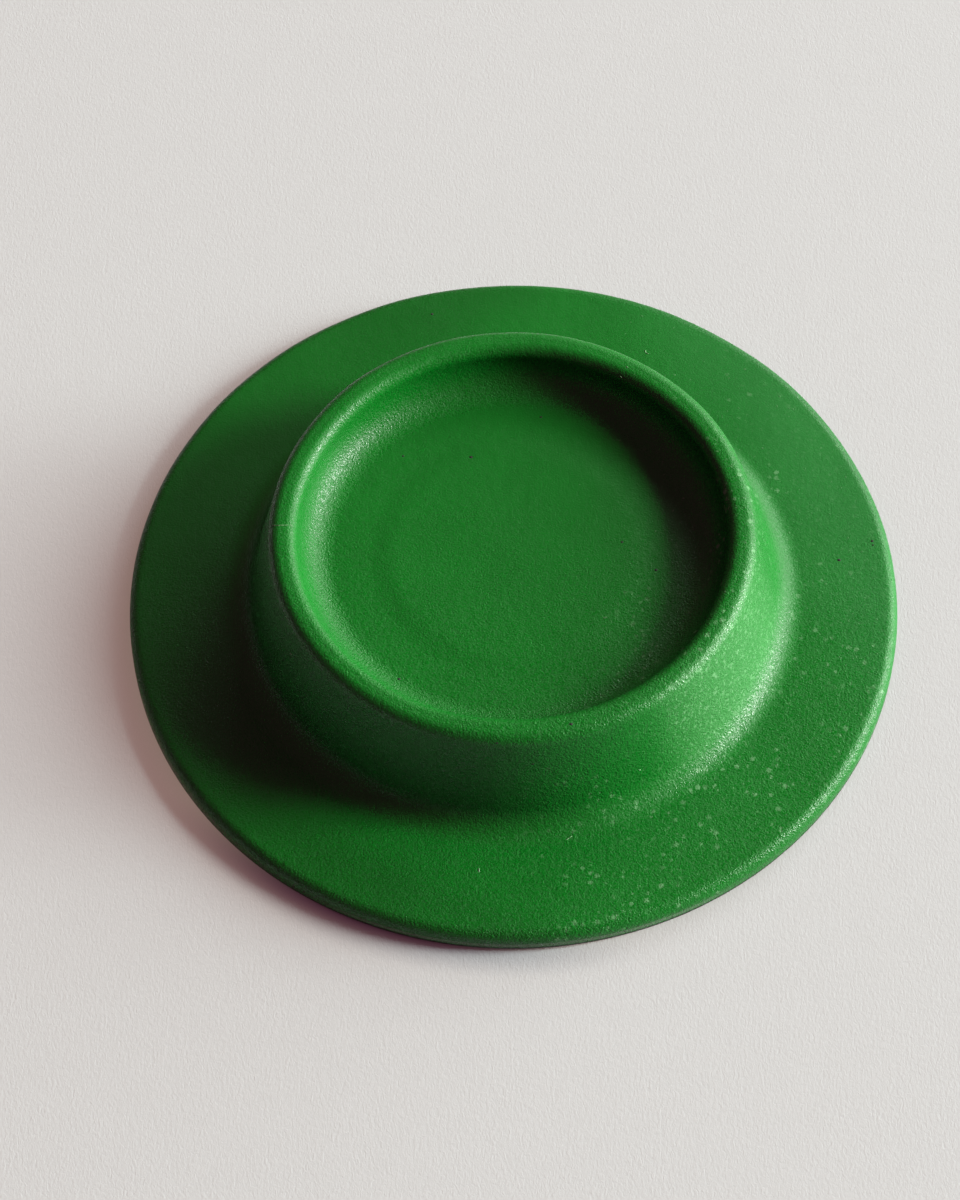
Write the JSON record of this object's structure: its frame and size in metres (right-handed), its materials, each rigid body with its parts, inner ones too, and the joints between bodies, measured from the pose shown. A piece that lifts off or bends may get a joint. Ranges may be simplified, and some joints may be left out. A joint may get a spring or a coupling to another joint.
{
  "type": "magnetic soap holder",
  "caption": "Round rubber soap holder: a flat brim, a raised rim and a shallow dish whose floor hides a disc magnet, with an adhesive pad below.",
  "frame": {"origin": "centre of the adhesive pad's outer face, the face that rests on a wall or shelf", "axes": "+Z along the axis of the brim and the rim, out of the dish; the object is round, so +X and +Y are alike"},
  "size_m": [0.08, 0.08, 0.0152],
  "materials": {
    "green_rubber": "satin, finely textured",
    "dark_plastic": "matte",
    "nickel_plate": "bright",
    "zinc_plate": "satin",
    "foam_tape": "matte"
  },
  "bodies": {
    "root": {"holder_body": "green_rubber", "socket_plug": "dark_plastic", "disc_magnet": "nickel_plate", "keeper_disc": "zinc_plate", "adhesive_pad": "foam_tape"}
  },
  "joints": []
}
